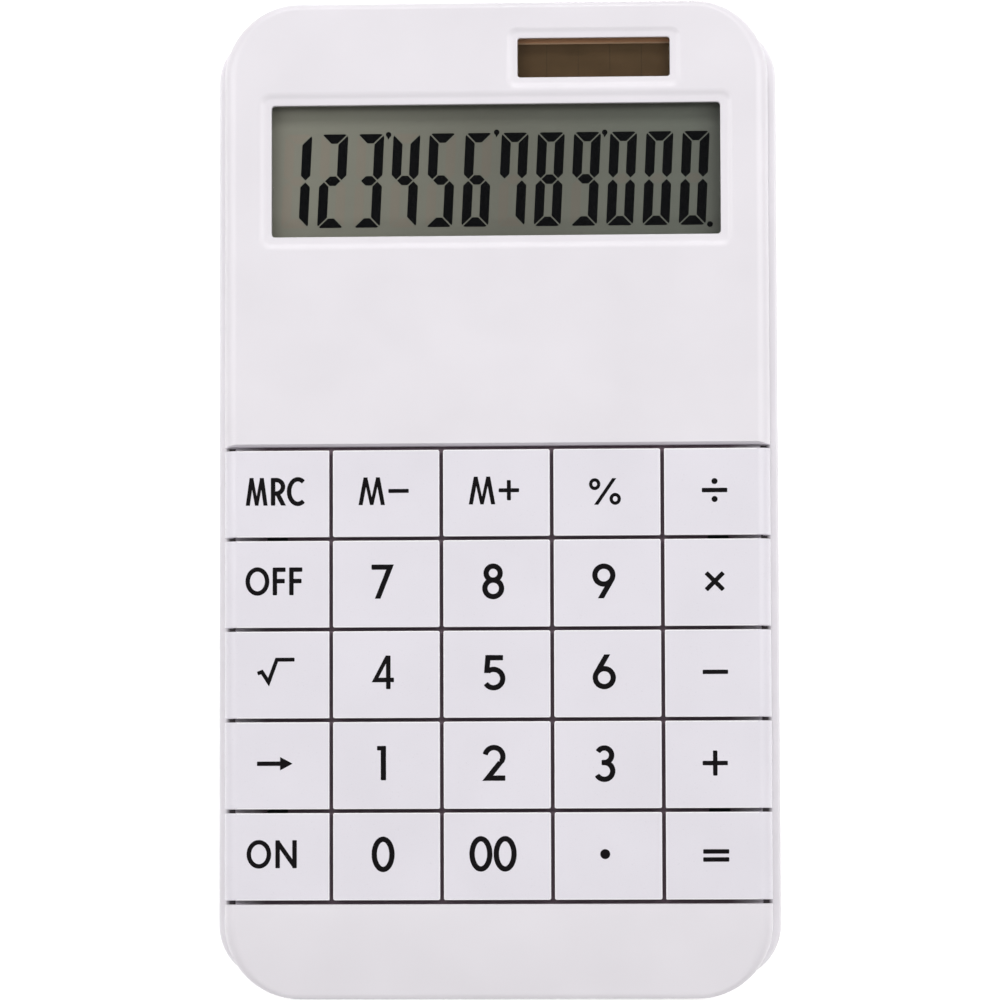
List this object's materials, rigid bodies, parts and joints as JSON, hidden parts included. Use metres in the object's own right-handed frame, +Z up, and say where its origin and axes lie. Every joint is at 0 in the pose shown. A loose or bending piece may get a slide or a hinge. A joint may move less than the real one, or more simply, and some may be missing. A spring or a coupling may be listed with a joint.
{
  "type": "desk calculator",
  "caption": "Slim wedge desk calculator: two-part white case, wide reflective display, solar strip, flat edge-to-edge keys and a coin cell door underneath.",
  "frame": {"origin": "middle of the footprint, on the desk under the feet", "axes": "+X to the user's right, +Y towards the display end along the longest side, +Z up; the key face tilts 2.6 degrees down towards the user"},
  "size_m": [0.102, 0.1808, 0.0197],
  "materials": {
    "case_plastic": "fine satin moulded white ABS",
    "key_plastic": "satin moulded white ABS",
    "window_acrylic": "polished clear acrylic",
    "cell_window_acrylic": "polished brown-tinted acrylic",
    "frame_plastic": "matt moulded",
    "polarizer_film": "satin grey-green film",
    "display_glass": "clear glass",
    "reflector_film": "pearl reflective film",
    "segment_ink": "dark display segment",
    "connector_rubber": "matt elastomer",
    "solar_glass": "brown amorphous silicon on glass",
    "board_laminate": "green solder resist",
    "mat_silicone": "translucent grey silicone",
    "epoxy_resin": "black resin",
    "capacitor_sleeve": "shrink sleeve",
    "capacitor_ceramic": "dipped ceramic",
    "cell_steel": "plated",
    "contact_steel": "plated spring strip",
    "screw_steel": "zinc plated",
    "wire_red": "insulation",
    "wire_black": "insulation",
    "foot_rubber": "matt rubber",
    "legend_ink": "pad-printed black ink"
  },
  "bodies": {
    "case": {"front_cover": "case_plastic", "back_tray": "case_plastic", "display_window": "window_acrylic", "solar_window": "cell_window_acrylic", "lcd_frame": "frame_plastic", "lcd_front_polarizer": "polarizer_film", "lcd_front_glass": "display_glass", "lcd_rear_glass": "display_glass", "lcd_reflector": "reflector_film", "lcd_connector_strip": "connector_rubber", "solar_cell": "solar_glass", "solar_pad": "connector_rubber", "circuit_board": "board_laminate", "dome_mat": "mat_silicone", "chip_cover": "epoxy_resin", "electrolytic_capacitor": "capacitor_sleeve", "ceramic_capacitor": "capacitor_ceramic", "coin_cell": "cell_steel", "battery_contact_minus": "contact_steel", "battery_contact_plus": "contact_steel", "solar_wire_red": "wire_red", "battery_wire_red": "wire_red", "solar_wire_black": "wire_black", "battery_wire_black": "wire_black", "case_screw_1": "screw_steel", "case_screw_2": "screw_steel", "case_screw_3": "screw_steel", "case_screw_4": "screw_steel", "board_screw_1": "screw_steel", "board_screw_2": "screw_steel", "foot_1": "foot_rubber", "foot_2": "foot_rubber", "foot_3": "foot_rubber", "foot_4": "foot_rubber"},
    "key_mrc": {"key_mrc": "key_plastic"},
    "key_m_minus": {"key_m_minus": "key_plastic"},
    "key_m_plus": {"key_m_plus": "key_plastic"},
    "key_percent": {"key_percent": "key_plastic"},
    "key_divide": {"key_divide": "key_plastic"},
    "key_off": {"key_off": "key_plastic"},
    "key_7": {"key_7": "key_plastic"},
    "key_8": {"key_8": "key_plastic"},
    "key_9": {"key_9": "key_plastic"},
    "key_multiply": {"key_multiply": "key_plastic"},
    "key_root": {"key_root": "key_plastic"},
    "key_4": {"key_4": "key_plastic"},
    "key_5": {"key_5": "key_plastic"},
    "key_6": {"key_6": "key_plastic"},
    "key_minus": {"key_minus": "key_plastic"},
    "key_back": {"key_back": "key_plastic"},
    "key_1": {"key_1": "key_plastic"},
    "key_2": {"key_2": "key_plastic"},
    "key_3": {"key_3": "key_plastic"},
    "key_plus": {"key_plus": "key_plastic"},
    "key_on": {"key_on": "key_plastic"},
    "key_0": {"key_0": "key_plastic"},
    "key_00": {"key_00": "key_plastic"},
    "key_point": {"key_point": "key_plastic"},
    "key_equals": {"key_equals": "key_plastic"},
    "battery_door": {"battery_door": "case_plastic"}
  },
  "joints": [
    {"name": "key_mrc_press", "type": "slide", "parent": "case", "child": "key_mrc", "axis": [0, 0.0454, -0.999], "range_m": [0, 0.001], "stiffness_N_per_m": 500, "springref_m": -0.001, "deforming": ["dome_mat"]},
    {"name": "key_m_minus_press", "type": "slide", "parent": "case", "child": "key_m_minus", "axis": [0, 0.0454, -0.999], "range_m": [0, 0.001], "stiffness_N_per_m": 500, "springref_m": -0.001, "deforming": ["dome_mat"]},
    {"name": "key_m_plus_press", "type": "slide", "parent": "case", "child": "key_m_plus", "axis": [0, 0.0454, -0.999], "range_m": [0, 0.001], "stiffness_N_per_m": 500, "springref_m": -0.001, "deforming": ["dome_mat"]},
    {"name": "key_percent_press", "type": "slide", "parent": "case", "child": "key_percent", "axis": [0, 0.0454, -0.999], "range_m": [0, 0.001], "stiffness_N_per_m": 500, "springref_m": -0.001, "deforming": ["dome_mat"]},
    {"name": "key_divide_press", "type": "slide", "parent": "case", "child": "key_divide", "axis": [0, 0.0454, -0.999], "range_m": [0, 0.001], "stiffness_N_per_m": 500, "springref_m": -0.001, "deforming": ["dome_mat"]},
    {"name": "key_off_press", "type": "slide", "parent": "case", "child": "key_off", "axis": [0, 0.0454, -0.999], "range_m": [0, 0.001], "stiffness_N_per_m": 500, "springref_m": -0.001, "deforming": ["dome_mat"]},
    {"name": "key_7_press", "type": "slide", "parent": "case", "child": "key_7", "axis": [0, 0.0454, -0.999], "range_m": [0, 0.001], "stiffness_N_per_m": 500, "springref_m": -0.001, "deforming": ["dome_mat"]},
    {"name": "key_8_press", "type": "slide", "parent": "case", "child": "key_8", "axis": [0, 0.0454, -0.999], "range_m": [0, 0.001], "stiffness_N_per_m": 500, "springref_m": -0.001, "deforming": ["dome_mat"]},
    {"name": "key_9_press", "type": "slide", "parent": "case", "child": "key_9", "axis": [0, 0.0454, -0.999], "range_m": [0, 0.001], "stiffness_N_per_m": 500, "springref_m": -0.001, "deforming": ["dome_mat"]},
    {"name": "key_multiply_press", "type": "slide", "parent": "case", "child": "key_multiply", "axis": [0, 0.0454, -0.999], "range_m": [0, 0.001], "stiffness_N_per_m": 500, "springref_m": -0.001, "deforming": ["dome_mat"]},
    {"name": "key_root_press", "type": "slide", "parent": "case", "child": "key_root", "axis": [0, 0.0454, -0.999], "range_m": [0, 0.001], "stiffness_N_per_m": 500, "springref_m": -0.001, "deforming": ["dome_mat"]},
    {"name": "key_4_press", "type": "slide", "parent": "case", "child": "key_4", "axis": [0, 0.0454, -0.999], "range_m": [0, 0.001], "stiffness_N_per_m": 500, "springref_m": -0.001, "deforming": ["dome_mat"]},
    {"name": "key_5_press", "type": "slide", "parent": "case", "child": "key_5", "axis": [0, 0.0454, -0.999], "range_m": [0, 0.001], "stiffness_N_per_m": 500, "springref_m": -0.001, "deforming": ["dome_mat"]},
    {"name": "key_6_press", "type": "slide", "parent": "case", "child": "key_6", "axis": [0, 0.0454, -0.999], "range_m": [0, 0.001], "stiffness_N_per_m": 500, "springref_m": -0.001, "deforming": ["dome_mat"]},
    {"name": "key_minus_press", "type": "slide", "parent": "case", "child": "key_minus", "axis": [0, 0.0454, -0.999], "range_m": [0, 0.001], "stiffness_N_per_m": 500, "springref_m": -0.001, "deforming": ["dome_mat"]},
    {"name": "key_back_press", "type": "slide", "parent": "case", "child": "key_back", "axis": [0, 0.0454, -0.999], "range_m": [0, 0.001], "stiffness_N_per_m": 500, "springref_m": -0.001, "deforming": ["dome_mat"]},
    {"name": "key_1_press", "type": "slide", "parent": "case", "child": "key_1", "axis": [0, 0.0454, -0.999], "range_m": [0, 0.001], "stiffness_N_per_m": 500, "springref_m": -0.001, "deforming": ["dome_mat"]},
    {"name": "key_2_press", "type": "slide", "parent": "case", "child": "key_2", "axis": [0, 0.0454, -0.999], "range_m": [0, 0.001], "stiffness_N_per_m": 500, "springref_m": -0.001, "deforming": ["dome_mat"]},
    {"name": "key_3_press", "type": "slide", "parent": "case", "child": "key_3", "axis": [0, 0.0454, -0.999], "range_m": [0, 0.001], "stiffness_N_per_m": 500, "springref_m": -0.001, "deforming": ["dome_mat"]},
    {"name": "key_plus_press", "type": "slide", "parent": "case", "child": "key_plus", "axis": [0, 0.0454, -0.999], "range_m": [0, 0.001], "stiffness_N_per_m": 500, "springref_m": -0.001, "deforming": ["dome_mat"]},
    {"name": "key_on_press", "type": "slide", "parent": "case", "child": "key_on", "axis": [0, 0.0454, -0.999], "range_m": [0, 0.001], "stiffness_N_per_m": 500, "springref_m": -0.001, "deforming": ["dome_mat"]},
    {"name": "key_0_press", "type": "slide", "parent": "case", "child": "key_0", "axis": [0, 0.0454, -0.999], "range_m": [0, 0.001], "stiffness_N_per_m": 500, "springref_m": -0.001, "deforming": ["dome_mat"]},
    {"name": "key_00_press", "type": "slide", "parent": "case", "child": "key_00", "axis": [0, 0.0454, -0.999], "range_m": [0, 0.001], "stiffness_N_per_m": 500, "springref_m": -0.001, "deforming": ["dome_mat"]},
    {"name": "key_point_press", "type": "slide", "parent": "case", "child": "key_point", "axis": [0, 0.0454, -0.999], "range_m": [0, 0.001], "stiffness_N_per_m": 500, "springref_m": -0.001, "deforming": ["dome_mat"]},
    {"name": "key_equals_press", "type": "slide", "parent": "case", "child": "key_equals", "axis": [0, 0.0454, -0.999], "range_m": [0, 0.001], "stiffness_N_per_m": 500, "springref_m": -0.001, "deforming": ["dome_mat"]},
    {"name": "battery_door_hinge", "type": "hinge", "parent": "case", "child": "battery_door", "pos_m": [0, 0.066, 0.001], "axis": [1, 0, 0], "range_deg": [0, 80]}
  ]
}
